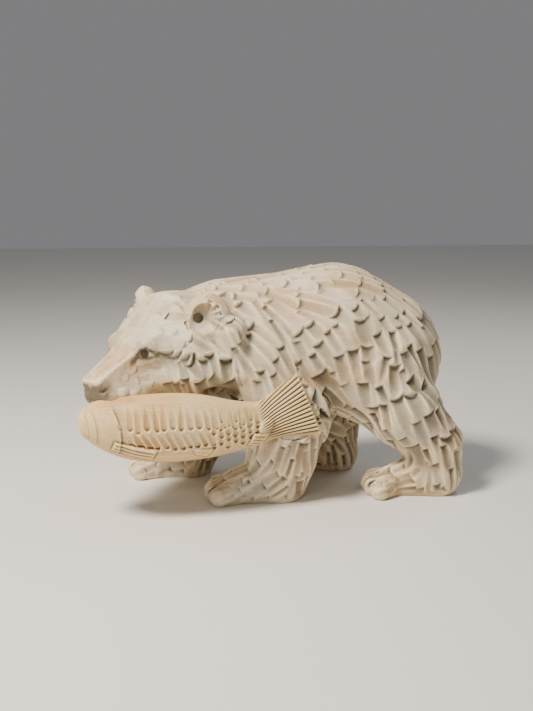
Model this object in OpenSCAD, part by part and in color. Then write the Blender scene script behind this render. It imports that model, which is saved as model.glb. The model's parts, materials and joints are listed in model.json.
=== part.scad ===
// Walking bear with a salmon in its jaws, carved in wood.
// The nose points along -X and the feet stand on z = 0. The origin is under the middle of the
// block that the figure is cut from.

/* [Block] */
// Length, from the salmon's snout to the bear's hind heel
block_length = 296; // [240:4:360]
// Width, from the salmon's cheek to the far haunch
block_width = 150; // [125:1:180]
// Height, from the soles to the top of the back
block_height = 180; // [150:1:216]

/* [Trunk] */
// Radius of the trunk at the shoulders
shoulder_radius = 58; // [48:1:68]
// Radius of the trunk at the loins
loin_radius = 61; // [51:1:71]
// Radius of the trunk at the rump
rump_radius = 60; // [50:1:70]
// Radius of the neck behind the ears
neck_radius = 47; // [38:1:56]
// Width of the trunk as a share of its height
trunk_slimness = 0.9; // [0.8:0.01:1]

/* [Head] */
// Angle that the head is turned to the bear's left
head_turn = 40; // [25:1:45]
// Radius of the skull
skull_radius = 37; // [30:1:44]
// Radius of the cheek
cheek_radius = 25; // [20:1:30]
// Radius of a brow
brow_radius = 13; // [10:0.5:16]
// Radius of the muzzle at its root
muzzle_radius = 23; // [18:1:28]
// Radius of the tip of the nose
nose_radius = 9; // [7:0.5:11]
// Radius of an ear
ear_radius = 16; // [13:0.5:18]
// Radius of the chin
chin_radius = 12; // [9:0.5:15]

/* [Legs] */
// Radius of the foreleg at the shoulder
upper_arm_radius = 38; // [31:1:46]
// Radius of the foreleg below the elbow
forearm_radius = 27; // [22:1:32]
// Radius of the haunch
haunch_radius = 46; // [38:1:55]
// Radius of the hind leg above the heel
shank_radius = 23; // [19:1:28]
// Radius of a paw across the instep
paw_radius = 19; // [15:1:23]
// Radius of a toe
toe_radius = 9; // [7:0.5:11]

/* [Salmon] */
// Height of the salmon's body at its deepest
salmon_depth = 51; // [41:1:62]
// Thickness of the salmon's body
salmon_thickness = 33; // [27:1:40]
// Depth of the stalk in front of the tail fan
tail_stalk_depth = 29; // [23:1:35]
// Span of the tail fan
tail_span = 56; // [45:1:68]
// Thickness of the tail fan
tail_thickness = 9; // [7:0.5:12]
// Gap between the salmon and its seat
salmon_clearance = 0.3; // [0.2:0.05:0.6]

/* [Eyes] */
// Diameter of a glass eye bead
bead_diameter = 6.4; // [5:0.2:8]
// Diameter of the wire stem behind a bead
stem_diameter = 1.6; // [1.2:0.1:2.4]
// Length of the stem behind the bead
stem_length = 9; // [6:0.5:14]
// Gap around a bead and its stem in the drilled socket
eye_clearance = 0.25; // [0.15:0.05:0.5]

/* [Dowels] */
// Diameter of the dowels that fasten the salmon
dowel_diameter = 6; // [4:0.5:8]
// Length of the dowel between jaw and salmon
jaw_dowel_length = 26; // [20:1:34]
// Length of the dowel between shoulder and salmon
shoulder_dowel_length = 28; // [22:1:36]
// Gap around and behind a dowel
dowel_clearance = 0.2; // [0.15:0.05:0.4]

/* [Hidden] */

bear_wood = [0.84, 0.80, 0.70];
salmon_wood = [0.90, 0.82, 0.68];
bead_glass = [0.12, 0.07, 0.05];
stem_wire = [0.72, 0.60, 0.36];
dowel_wood = [0.78, 0.66, 0.48];

round_sides = 18;
bore_sides = 32;

// A place in the block: shares of its half length and half width from the middle, and of its height
function place(x, y, z) = [x * block_length / 2, y * block_width / 2, z * block_height];

// The bear's own middle plane lies beyond the block's, because the salmon stands out on its left
spine = 0.2;
near_side = -0.27;
far_side = 0.69;

head_centre = place(-0.515, -0.03, 0.675);
shoulder_centre = place(-0.22, spine, 0.63);
loin_centre = place(0.33, spine, 0.655);
rump_centre = place(0.555, spine, 0.575);
chest_centre = place(-0.33, spine, 0.48);
belly_centre = place(0.27, spine, 0.56);
chest_share = 0.65;
belly_share = 0.68;

// A point in the head's own axes, nose along -X, turned and moved to its place on the neck
function on_head(p) = head_centre + [
    p[0] * cos(head_turn) - p[1] * sin(head_turn),
    p[0] * sin(head_turn) + p[1] * cos(head_turn),
    p[2]
];

// One rounded mass of wood
module mass(centre, radius, slim = 1) {
    translate(centre) scale([1, slim, 1]) sphere(r = radius, $fn = round_sides);
}

// Masses blended in pairs, in a chain
module limb(centres, radii, slim = 1) {
    for (i = [0 : len(centres) - 2])
        hull() {
            mass(centres[i], radii[i], slim);
            mass(centres[i + 1], radii[i + 1], slim);
        }
}

module trunk() {
    limb([shoulder_centre, loin_centre, rump_centre],
         [shoulder_radius, loin_radius, rump_radius], trunk_slimness);
    limb([shoulder_centre, head_centre], [neck_radius, skull_radius]);
    limb([chest_centre, belly_centre],
         [shoulder_radius * chest_share, loin_radius * belly_share]);
}

// An ear: a thick round leaf of wood, hollowed on its front
module ear(side) {
    centre = [0, side * skull_radius * 1.03, skull_radius * 0.64];
    root_share = 0.72;
    cup_offset = [-ear_radius, side * ear_radius * 0.25, ear_radius * 0.1];
    cup_radius = ear_radius * 0.72;
    difference() {
        hull() {
            mass(on_head(centre), ear_radius);
            mass(on_head(centre * root_share), ear_radius * 0.8);
        }
        mass(on_head(centre + cup_offset), cup_radius);
    }
}

muzzle_root = [-skull_radius * 0.9, 0, -12];
muzzle_tip = [-skull_radius * 1.7, 0, -22];
nose_tip = [-skull_radius * 1.98, 0, -23];
throat = [-2, 0, -18];
chin = [-skull_radius * 1.3, 2, -50];

module head() {
    limb([head_centre, on_head(muzzle_root), on_head(muzzle_tip), on_head(nose_tip)],
         [skull_radius, muzzle_radius, nose_radius * 1.5, nose_radius]);
    limb([on_head(throat), on_head(chin)], [skull_radius * 0.8, chin_radius]);
    for (side = [-1, 1]) {
        cheek = [-10, side * cheek_radius * 1.1, -15];
        ruff = [16, side * cheek_radius * 1.3, -10];
        brow = [-skull_radius * 0.86, side * brow_radius * 1.1, 11];
        lip = [-skull_radius * 1.6, side * nose_radius * 0.8, -29];
        limb([on_head(cheek), on_head(ruff), shoulder_centre],
             [cheek_radius, cheek_radius * 1.15, neck_radius * 0.8]);
        limb([head_centre, on_head(brow)], [skull_radius * 0.85, brow_radius]);
        limb([on_head(cheek), on_head(lip)], [cheek_radius * 0.6, nose_radius * 0.9]);
        ear(side);
    }
}

// A paw: an instep drawn out into a row of toes
module paw(centre, instep, reach) {
    toes = 4;
    spread = toe_radius * 1.15;
    set_back = toe_radius * 0.35;
    toe_height = toe_radius * 0.75;
    for (i = [0 : toes - 1]) {
        off = i - (toes - 1) / 2;
        limb([centre, [centre[0] - reach + abs(off) * set_back, centre[1] + off * spread, toe_height]],
             [instep, toe_radius]);
    }
}

// A foreleg from the shoulder to the toes; each share places the elbow, wrist and paw along X
module foreleg(y, elbow_x, wrist_x, paw_x) {
    top = place(-0.1, y * 0.75 + spine * 0.25, 0.56);
    elbow = place(elbow_x, y, 0.36);
    wrist = place(wrist_x, y, 0.17);
    heel = place(wrist_x - 0.01, y, 0.08);
    paw_centre = place(paw_x, y, 0.055);
    instep = paw_radius * 0.9;
    limb([top, elbow, wrist], [upper_arm_radius, forearm_radius * 1.2, forearm_radius]);
    limb([wrist, heel, paw_centre], [forearm_radius, forearm_radius * 0.76, instep]);
    paw(paw_centre, instep, paw_radius * 1.5);
}

// A hind leg from the haunch to the toes
module hind_leg(y, haunch_x, knee_x, hock_x, paw_x) {
    haunch = place(haunch_x, y * 0.55 + spine * 0.45, 0.5);
    knee = place(knee_x, y, 0.38);
    hock = place(hock_x, y, 0.22);
    heel = place(hock_x + 0.015, y, 0.085);
    paw_centre = place(paw_x, y, 0.045);
    instep = paw_radius * 0.68;
    limb([haunch, knee, hock], [haunch_radius, shank_radius * 1.25, shank_radius]);
    limb([hock, heel, paw_centre], [shank_radius, shank_radius * 0.9, instep]);
    paw(paw_centre, instep, paw_radius * 0.95);
}

// The block of wood, which trims the heel, the soles and the back to the outer sizes
module block() {
    translate([-block_length / 2, -block_width / 2, 0])
        cube([block_length, block_width, block_height]);
}

module bear_carving() {
    color(bear_wood)
    difference() {
        intersection() {
            union() {
                trunk();
                head();
                foreleg(near_side, 0.06, 0.03, -0.15);
                foreleg(far_side, -0.2, -0.42, -0.56);
                hind_leg(near_side, 0.58, 0.68, 0.85, 0.63);
                hind_leg(far_side, 0.5, 0.37, 0.39, 0.23);
            }
            block();
        }
        salmon_body(salmon_clearance);
        salmon_tail(salmon_clearance);
        jaw_dowel_shape(dowel_clearance);
        shoulder_dowel_shape(dowel_clearance);
        for (side = [-1, 1]) {
            eye_bead_shape(side, eye_clearance);
            eye_stem_shape(side, eye_clearance);
        }
    }
}

// The salmon: rings along its backbone from the snout to the stalk of the tail.
// Each row: share along X, share across Y, height share, depth share, thickness share.
backbone = [
    [-1.00, -0.70, 0.424, 0.00, 0.00],
    [-0.985, -0.71, 0.422, 0.30, 0.36],
    [-0.94, -0.73, 0.415, 0.54, 0.66],
    [-0.87, -0.755, 0.404, 0.76, 0.88],
    [-0.78, -0.775, 0.394, 0.91, 0.98],
    [-0.67, -0.78, 0.386, 0.99, 1.00],
    [-0.54, -0.78, 0.383, 1.00, 1.00],
    [-0.41, -0.765, 0.384, 0.95, 0.94],
    [-0.29, -0.74, 0.389, 0.85, 0.82],
    [-0.18, -0.71, 0.396, 0.73, 0.66],
    [-0.10, -0.69, 0.404, 0.64, 0.54],
    [-0.03, -0.672, 0.415, 0.58, 0.44],
    [0.02, -0.66, 0.425, 0.00, 0.00]
];
ring_sides = 28;

function salmon_point(row, angle, gap) = place(row[0], row[1], row[2]) + [
    0,
    cos(angle) * (row[4] * salmon_thickness / 2 + (row[4] > 0 ? gap : 0)),
    sin(angle) * (row[3] * salmon_depth / 2 + (row[3] > 0 ? gap : 0))
];

// The salmon's body, grown all over by a gap where it is used as a cutter
module salmon_body(gap = 0) {
    last = len(backbone) - 2;
    snout = place(backbone[0][0], backbone[0][1], backbone[0][2]) - [gap, 0, 0];
    stalk_end = place(backbone[last + 1][0], backbone[last + 1][1], backbone[last + 1][2])
        + [gap, 0, 0];
    points = concat(
        [snout],
        [for (i = [1 : last]) for (j = [0 : ring_sides - 1])
            salmon_point(backbone[i], 360 * j / ring_sides, gap)],
        [stalk_end]);
    tip = len(points) - 1;
    faces = concat(
        [for (j = [0 : ring_sides - 1]) [0, 1 + j, 1 + (j + 1) % ring_sides]],
        [for (i = [0 : last - 2]) for (j = [0 : ring_sides - 1]) for (half = [0, 1])
            let (
                here = 1 + i * ring_sides + j,
                beside = 1 + i * ring_sides + (j + 1) % ring_sides
            )
            half == 0 ? [here, here + ring_sides, beside + ring_sides]
                      : [here, beside + ring_sides, beside]],
        [for (j = [0 : ring_sides - 1])
            [tip, 1 + (last - 1) * ring_sides + (j + 1) % ring_sides,
             1 + (last - 1) * ring_sides + j]]);
    polyhedron(points, faces);
}

tail_root = place(-0.08, -0.70, 0.405);
tail_middle = place(0.14, -0.67, 0.455);
tail_lean = 17;
tail_corner_set_back = 3;

// The tail fan, spread flat against the shoulder
module salmon_tail(gap = 0) {
    hull() {
        translate(tail_root) scale([1, 0.45, 1])
            sphere(d = tail_stalk_depth + 2 * gap, $fn = round_sides);
        for (end = [-1, 0, 1])
            translate(tail_middle)
            rotate([0, -tail_lean, 0])
            translate([-abs(end) * tail_corner_set_back, 0, end * (tail_span - tail_thickness) / 2])
                sphere(d = tail_thickness + 2 * gap, $fn = round_sides);
    }
}

module salmon() {
    color(salmon_wood)
    difference() {
        union() {
            salmon_body();
            salmon_tail();
        }
        jaw_dowel_shape(dowel_clearance);
        shoulder_dowel_shape(dowel_clearance);
    }
}

// A round pin along Y, centred on a point; the gap grows it all round for the hole it sits in
module pin(centre, diameter, length, gap) {
    translate(centre) rotate([90, 0, 0])
        cylinder(d = diameter + 2 * gap, h = length + 2 * gap, center = true, $fn = bore_sides);
}

jaw_dowel_centre = place(-0.76, -0.58, 0.40);
shoulder_dowel_centre = place(-0.1, -0.57, 0.41);

module jaw_dowel_shape(gap = 0) {
    pin(jaw_dowel_centre, dowel_diameter, jaw_dowel_length, gap);
}

module shoulder_dowel_shape(gap = 0) {
    pin(shoulder_dowel_centre, dowel_diameter, shoulder_dowel_length, gap);
}

module jaw_dowel() {
    color(dowel_wood) jaw_dowel_shape();
}

module shoulder_dowel() {
    color(dowel_wood) shoulder_dowel_shape();
}

// An eye's centre and the way its socket is drilled, in the head's own axes
function eye_centre(side) = on_head([-skull_radius * 1.17, side * skull_radius * 0.47, -1]);
socket_swing = 40;
socket_dip = 8;
bead_to_stem_gap = 0.02;

module eye_axis(side) {
    translate(eye_centre(side))
    rotate([0, 0, head_turn - side * socket_swing])
    rotate([0, 90 + socket_dip, 0])
        children();
}

module eye_bead_shape(side, gap = 0) {
    eye_axis(side) sphere(d = bead_diameter + 2 * gap, $fn = bore_sides);
}

// The stem starts inside the bead's back and runs into the head
module eye_stem_shape(side, gap = 0) {
    eye_axis(side)
    translate([0, 0, bead_diameter / 2 + (gap > 0 ? 0 : bead_to_stem_gap)])
        cylinder(d = stem_diameter + 2 * gap, h = stem_length + gap, $fn = bore_sides);
}

module left_eye_bead() {
    color(bead_glass) eye_bead_shape(-1);
}

module right_eye_bead() {
    color(bead_glass) eye_bead_shape(1);
}

module left_eye_stem() {
    color(stem_wire) eye_stem_shape(-1);
}

module right_eye_stem() {
    color(stem_wire) eye_stem_shape(1);
}

bear_carving();
salmon();
left_eye_bead();
right_eye_bead();
left_eye_stem();
right_eye_stem();
jaw_dowel();
shoulder_dowel();
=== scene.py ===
"""A bear carved in pale limewood, walking, with a salmon held crosswise in its jaws.

The bear's form is a set of rounded masses blended into one skin, and its fur is cut into that skin
stroke by stroke with a gouge, as the carver does it. Lengths inside the classes are millimetres in
the frame's axes: nose along -X, the bear's left side towards -Y, soles on z = 0. Wherever a
function takes them, points are places in millimetres, normals are the skin's outward ones, and side
is LEFT or RIGHT.
"""

import json
import logging
import math
from collections.abc import Iterator
from dataclasses import dataclass, field
from enum import Enum
from functools import partial

import bmesh
import bpy
import numpy as np
from mathutils import Matrix, Vector, kdtree

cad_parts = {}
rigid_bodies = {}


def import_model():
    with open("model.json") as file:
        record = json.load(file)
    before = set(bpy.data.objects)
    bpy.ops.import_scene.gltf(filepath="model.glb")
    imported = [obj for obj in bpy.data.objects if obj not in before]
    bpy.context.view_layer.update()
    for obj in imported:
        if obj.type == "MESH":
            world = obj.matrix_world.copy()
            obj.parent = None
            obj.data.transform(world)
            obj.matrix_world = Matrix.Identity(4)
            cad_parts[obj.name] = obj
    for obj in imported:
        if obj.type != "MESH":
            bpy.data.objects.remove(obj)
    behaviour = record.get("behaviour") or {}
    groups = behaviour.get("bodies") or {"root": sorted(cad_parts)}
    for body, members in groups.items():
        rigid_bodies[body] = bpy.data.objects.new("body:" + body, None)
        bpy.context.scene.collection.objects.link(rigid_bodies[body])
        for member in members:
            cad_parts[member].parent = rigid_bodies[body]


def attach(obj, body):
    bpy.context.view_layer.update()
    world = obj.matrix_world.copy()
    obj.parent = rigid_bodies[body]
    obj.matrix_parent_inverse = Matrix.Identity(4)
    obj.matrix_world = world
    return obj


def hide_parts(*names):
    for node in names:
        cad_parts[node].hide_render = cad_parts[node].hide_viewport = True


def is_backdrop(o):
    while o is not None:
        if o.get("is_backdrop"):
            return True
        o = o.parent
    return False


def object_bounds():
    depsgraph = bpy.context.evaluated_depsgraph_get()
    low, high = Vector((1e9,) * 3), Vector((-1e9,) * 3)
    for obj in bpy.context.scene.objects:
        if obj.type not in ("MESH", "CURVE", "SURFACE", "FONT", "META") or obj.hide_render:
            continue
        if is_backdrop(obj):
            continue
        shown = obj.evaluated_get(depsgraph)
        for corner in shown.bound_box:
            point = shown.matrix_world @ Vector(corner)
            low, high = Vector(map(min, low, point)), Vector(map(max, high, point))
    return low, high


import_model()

LOG = logging.getLogger("bear")
METRES = 0.001
BLOCK_OVER_BACK = 2.03  # mm of the block that stands over the finished back
RING_SCALE = (148, 180)  # mm for a share of 1 along X and Z, to space the salmon's rings

LEFT, RIGHT = -1, 1  # the bear's own sides, as the sign along the head's lateral axis

Array = np.ndarray
Point = tuple[float, float, float]


class Cut(Enum):
    """Whether a mass adds wood to the form or takes it away."""

    ADD = 1
    TAKE = -1


# ------------------------------------------------------------------------------------------
# The block and the places in it
# ------------------------------------------------------------------------------------------


@dataclass(frozen=True)
class Block:
    """The block of wood, which gives every place in the figure as a share of its size.

    Attributes:
        half_length: half of the size along X, mm.
        half_width: half of the size along Y, mm.
        height: size along Z, mm.
    """

    half_length: float
    half_width: float
    height: float

    @classmethod
    def from_frame(cls) -> "Block":
        """Reads the block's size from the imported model's box."""
        low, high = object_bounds()
        return cls(
            (high[0] - low[0]) / 2 / METRES,
            (high[1] - low[1]) / 2 / METRES,
            high[2] / METRES + BLOCK_OVER_BACK,
        )

    def place(self, x: float, y: float, z: float) -> Array:
        """Gives a point from shares of the half length, the half width and the height.

        Args:
            x: share of the half length.
            y: share of the half width.
            z: share of the height.
        """
        return np.array([x * self.half_length, y * self.half_width, z * self.height])


@dataclass(frozen=True)
class HeadAxes:
    """The head's own axes: nose along -X, turned on the neck to the bear's left."""

    centre: Array
    turn: float = math.radians(40)

    def rotation(self) -> Array:
        """Gives the matrix whose rows are the head's axes in the frame."""
        c, s = math.cos(self.turn), math.sin(self.turn)
        return np.array([[c, s, 0.0], [-s, c, 0.0], [0.0, 0.0, 1.0]])

    def point(self, x: float, y: float, z: float) -> Array:
        """Gives a point of the head in the frame.

        Args:
            x: back from the head's centre, mm.
            y: towards the bear's right, mm.
            z: up, mm.
        """
        return self.centre + np.array([x, y, z]) @ self.rotation()

    def direction(self, x: float, y: float, z: float) -> Array:
        """Gives a direction of the head in the frame.

        Args:
            x: its part towards the back of the head.
            y: its part towards the bear's right.
            z: its part upwards.
        """
        return np.array([x, y, z], float) @ self.rotation()


# ------------------------------------------------------------------------------------------
# Masses: each gives the distance of points from its surface
# ------------------------------------------------------------------------------------------


@dataclass(frozen=True)
class Mass:
    """A rounded mass between two centres.

    Attributes:
        start: centre of the first end, mm.
        end: centre of the second end, mm.
        start_radius: radius at the first end, mm.
        end_radius: radius at the second end, mm.
        slim: width along Y as a share of the height.
        blend: how softly it runs into its neighbours, mm.
        cut: whether it adds wood or takes it away.
    """

    start: Array
    end: Array
    start_radius: float
    end_radius: float
    slim: float = 1.0
    blend: float = 8.0
    cut: Cut = Cut.ADD

    def box(self) -> tuple[Array, Array]:
        """Gives the lowest and highest corners of the mass.

        Returns:
            The two corners, mm.
        """
        ends = np.array([self.start, self.end])
        radii = np.array([[self.start_radius], [self.end_radius]])
        return (ends - radii).min(axis=0), (ends + radii).max(axis=0)

    def distance(self, points: Array) -> Array:
        """Gives each point's distance from the mass's surface, negative inside."""
        squeeze = np.array([1, 1 / self.slim, 1])
        middle = np.array([0, self.start[1], 0])
        p = (points - middle) * squeeze
        a = (self.start - middle) * squeeze
        b = (self.end - middle) * squeeze
        run = b - a
        share = np.clip((p - a) @ run / max(float(run @ run), 1e-6), 0, 1)
        radius = self.start_radius + share * (self.end_radius - self.start_radius)
        return np.linalg.norm(p - a - share[:, None] * run, axis=1) - radius


@dataclass(frozen=True)
class Leaf:
    """A flattened ellipsoid with its own axes, such as an ear or its cup."""

    centre: Array
    axes: Array
    radii: Point
    blend: float = 2.0
    cut: Cut = Cut.ADD

    def box(self) -> tuple[Array, Array]:
        """Gives the lowest and highest corners of a ball round the leaf.

        Returns:
            The two corners, mm.
        """
        return self.centre - max(self.radii), self.centre + max(self.radii)

    def distance(self, points: Array) -> Array:
        """Gives each point's distance from the leaf's surface, negative inside."""
        local = (points - self.centre) @ self.axes.T
        radii = np.array(self.radii)
        near = np.linalg.norm(local / radii, axis=1)
        slope = np.linalg.norm(local / radii**2, axis=1)
        return near * (near - 1) / np.maximum(slope, 1e-6)


@dataclass(frozen=True)
class Wedge:
    """A solid between flat cuts, such as the top and sides of the muzzle."""

    normals: Array
    offsets: Array
    blend: float = 2.0
    cut: Cut = Cut.ADD
    middle: Array = field(default_factory=lambda: np.zeros(3))
    size: float = 1000.0

    def box(self) -> tuple[Array, Array]:
        """Gives the lowest and highest corners of a cube round the wedge.

        Returns:
            The two corners, mm.
        """
        return self.middle - self.size, self.middle + self.size

    def distance(self, points: Array) -> Array:
        """Gives each point's distance past the nearest flat cut, negative inside."""
        return (points @ self.normals.T - self.offsets).max(axis=1)


def join_softly(a: Array, b: Array, blend: float) -> Array:
    """Gives the union of two distances, rounded over the blend's width.

    Args:
        a: the first distance, mm.
        b: the second distance, mm.
        blend: how wide the rounding is, mm.
    """
    share = np.clip(0.5 + 0.5 * (b - a) / blend, 0, 1)
    return b + (a - b) * share - blend * share * (1 - share)


@dataclass
class Form:
    """A skin around masses, built up and cut away in order."""

    masses: list = field(default_factory=list)
    swell: float = 0.0

    def near(self, points: Array, margin: float = 14.0) -> list[Array]:
        """Gives, for each mass, which points it can touch.

        Args:
            points: places, mm.
            margin: how far past a mass's box still counts, mm.
        """
        found = []
        for mass in self.masses:
            low, high = mass.box()
            inside = (points > low - margin) & (points < high + margin)
            found.append(np.flatnonzero(inside.all(axis=1)))
        return found

    def distance(self, points: Array, near: list[Array] | None = None) -> Array:
        """Gives each point's distance from the skin, negative inside.

        Args:
            points: places, mm.
            near: for each mass, the points it can touch; worked out if not given.
        """
        result = np.full(len(points), 40.0)
        for mass, index in zip(self.masses, near or self.near(points)):
            if not len(index):
                continue
            d = mass.distance(points[index])
            if mass.cut is Cut.ADD:
                result[index] = join_softly(result[index], d, mass.blend)
            else:
                result[index] = -join_softly(-result[index], d, mass.blend)
        return result - self.swell

    def slope(self, points: Array, here: Array, near: list[Array]) -> Array:
        """Gives the distance's slope along each axis, from steps of a third of a millimetre.

        Args:
            points: places, mm.
            here: the distance at the points, mm.
            near: for each mass, the points it can touch.
        """
        step = 0.3
        columns = [(self.distance(points + step * axis, near) - here) / step for axis in np.eye(3)]
        return np.stack(columns, axis=1)

    def draw_in(self, points: Array, rounds: int = 3, reach: float = 3.0) -> tuple[Array, Array]:
        """Moves points onto the skin.

        Args:
            points: places near the skin, mm.
            rounds: how many times each point is moved.
            reach: the furthest move of one round, mm.

        Returns:
            The points on the skin and the skin's outward normals there.
        """
        near = self.near(points)
        for _ in range(rounds):
            here = self.distance(points, near)
            slope = self.slope(points, here, near)
            step = here / np.maximum((slope**2).sum(axis=1), 0.2)
            points = points - np.clip(step, -reach, reach)[:, None] * slope
        slope = self.slope(points, self.distance(points, near), near)
        return points, unit(slope)


# ------------------------------------------------------------------------------------------
# Gouge work
# ------------------------------------------------------------------------------------------


@dataclass(frozen=True)
class Stroke:
    """The manner of one gouge stroke.

    Attributes:
        length: from the entry to the tip of the lock, mm.
        width: across the trough, mm.
        depth: at the entry, mm.
        scoop: how far the trough's middle lies under its edges, mm.
    """

    length: float
    width: float
    depth: float
    scoop: float


@dataclass(frozen=True)
class Coat:
    """How the fur lies around one place: its flow and its stroke."""

    place: Array
    reach: float
    flow: Array
    stroke: Stroke


@dataclass
class Gouge:
    """Cuts strokes into a skin, and remembers how deep each point was cut and by which stroke."""

    seed: int
    wall: float = 1.7
    round_entry: float = 0.55

    def __post_init__(self) -> None:
        """Starts the gouge's own random draws."""
        self.random = np.random.default_rng(self.seed)

    def lay_out(
        self, points: Array, normals: Array, flow: Array, sizes: Array, tries: int
    ) -> list[int]:
        """Picks the points that strokes start from, spaced by their own length and width.

        Args:
            points: the skin's points, mm.
            normals: its outward normals.
            flow: unit directions of the fur at the points.
            sizes: a row of length, width, depth and scoop for each point.
            tries: how many points are tried.
        """
        along_share, across_share = 0.58, 0.72
        order = self.random.permutation(len(points))[:tries]
        across = np.cross(normals, flow)
        kept = np.empty((len(order), 3))
        chosen: list[int] = []
        for i in order:
            if sizes[i, 2] <= 0.05:
                continue
            gap = kept[: len(chosen)] - points[i]
            u = gap @ flow[i] / (along_share * sizes[i, 0])
            v = gap @ across[i] / (across_share * sizes[i, 1])
            w = gap @ normals[i] / (across_share * sizes[i, 1])
            if len(chosen) and (u * u + v * v + w * w).min() < 1:
                continue
            kept[len(chosen)] = points[i]
            chosen.append(int(i))
        return chosen

    def visit(
        self,
        points: Array,
        normals: Array,
        seats: Array,
        seat_normals: Array,
        flow: Array,
        sizes: Array,
        jitter: float,
    ) -> Iterator[tuple[Array, Array, Array, Array, float]]:
        """Goes round the strokes, each swung and sized a little by hand.

        Args:
            points: the skin's points, mm.
            normals: the skin's outward normals.
            seats: where the strokes are centred.
            seat_normals: the skin's normals there.
            flow: unit directions of the strokes.
            sizes: a row of length, width, depth and scoop for each stroke.
            jitter: how unevenly the hand works, 0 to 1.
        """
        tree = kdtree.KDTree(len(points))
        for i, p in enumerate(points):
            tree.insert(p, i)
        tree.balance()
        for k in range(len(seats)):
            swing = self.random.normal(0, 0.14) * jitter
            spread = self.random.normal(0, 0.17, 4) * (1.3, 1.3, 1, 0.6)
            size = sizes[k] * np.exp(jitter * np.clip(spread, -0.45, 0.45))
            side = np.cross(seat_normals[k], flow[k])
            ahead = flow[k] * math.cos(swing) + side * math.sin(swing)
            side = np.cross(seat_normals[k], ahead)
            tone = self.random.random()
            found = tree.find_range(Vector(seats[k]), 0.62 * size[0] + 0.5 * size[1])
            index = np.array([f[1] for f in found], int)
            index = index[normals[index] @ seat_normals[k] > 0.35]
            if len(index):
                gap = points[index] - seats[k]
                u, v = gap @ ahead / (0.5 * size[0]), gap @ side / (0.5 * size[1])
                yield index, u, v, size, tone

    def scoop(
        self, points: Array, normals: Array, jitter: float, *strokes: Array
    ) -> tuple[Array, Array]:
        """Cuts separate troughs, steep where the gouge enters and running out at the far end.

        Args:
            points: the skin's points, mm.
            normals: the skin's outward normals.
            jitter: how unevenly the hand works, 0 to 1.
            *strokes: the seats, their normals, directions and sizes, as for visit.

        Returns:
            The depth of each point and the tone, 0 to 1, of the stroke that cut it.
        """
        depth = np.zeros(len(points))
        tones = np.full(len(points), 0.5)
        for index, u, v, (length, width, deep, scoop), tone in self.visit(
            points, normals, *strokes, jitter
        ):
            behind = -0.5 * length * (u + 1) + 0.5 * self.round_entry * width * (v * v - 0.5)
            value = deep * np.clip(0.5 - 0.5 * u, 0, 1.3) - scoop * v * v * (1 + 0.2 * u * u)
            value -= self.wall * np.maximum(behind, 0)
            better = value > depth[index]
            depth[index[better]] = value[better]
            tones[index[better]] = tone
        return depth, tones


# ------------------------------------------------------------------------------------------
# Mesh helpers
# ------------------------------------------------------------------------------------------


def new_piece(name: str, mesh: bpy.types.Mesh) -> bpy.types.Object:
    """Puts a mesh into the scene as a piece at the origin."""
    piece = bpy.data.objects.new(name, mesh)
    bpy.context.scene.collection.objects.link(piece)
    return piece


def baked(piece: bpy.types.Object) -> bpy.types.Mesh:
    """Applies a piece's modifiers and gives its mesh."""
    graph = bpy.context.evaluated_depsgraph_get()
    mesh = bpy.data.meshes.new_from_object(piece.evaluated_get(graph))
    piece.modifiers.clear()
    piece.data = mesh
    return mesh


def mesh_points(mesh: bpy.types.Mesh) -> Array:
    """Gives a mesh's points in millimetres."""
    flat = np.empty(len(mesh.vertices) * 3, np.float32)
    mesh.vertices.foreach_get("co", flat)
    return flat.reshape(-1, 3).astype(float) / METRES


def set_points(mesh: bpy.types.Mesh, points: Array) -> None:
    """Moves a mesh's points to places given in millimetres."""
    mesh.vertices.foreach_set("co", (points * METRES).astype(np.float32).ravel())
    mesh.update()


def set_attribute(mesh: bpy.types.Mesh, name: str, values: Array) -> None:
    """Stores one number for each point of a mesh.

    Args:
        mesh: the mesh that keeps the numbers.
        name: the attribute's name.
        values: a number for each point.
    """
    attribute = mesh.attributes.get(name) or mesh.attributes.new(name, "FLOAT", "POINT")
    attribute.data.foreach_set("value", values.astype(np.float32))


def nearest(points: Array, places: Array) -> Array:
    """Gives the index of the point nearest to each place.

    Args:
        points: the points to choose from, mm.
        places: the places to look from, mm.
    """
    tree = kdtree.KDTree(len(points))
    for i, p in enumerate(points):
        tree.insert(p, i)
    tree.balance()
    return np.array([tree.find(Vector(p))[1] for p in places])


def crest(mesh: bpy.types.Mesh, points: Array, normals: Array, rounds: int = 5) -> Array:
    """Gives how far each point stands over the evened skin: ridges above 0, hollows below.

    Args:
        mesh: the mesh, for its edges.
        points: its points, mm.
        normals: the skin's outward normals.
        rounds: how often neighbours are averaged; more rounds see broader shapes.
    """
    edges = np.empty(len(mesh.edges) * 2, np.int32)
    mesh.edges.foreach_get("vertices", edges)
    a, b = edges.reshape(-1, 2).T
    count = np.bincount(np.concatenate([a, b]), minlength=len(points))
    even = points
    for _ in range(rounds):
        total = np.stack(
            [
                np.bincount(a, even[b, k], len(points)) + np.bincount(b, even[a, k], len(points))
                for k in range(3)
            ],
            axis=1,
        )
        even = total / np.maximum(count, 1)[:, None]
    return ((points - even) * normals).sum(axis=1)


def unit(vectors: Array) -> Array:
    """Scales vectors to length 1.

    Args:
        vectors: vectors, one to a row or a single one.
    """
    return vectors / np.maximum(np.linalg.norm(vectors, axis=-1, keepdims=True), 1e-9)


# ------------------------------------------------------------------------------------------
# The bear
# ------------------------------------------------------------------------------------------


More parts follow.
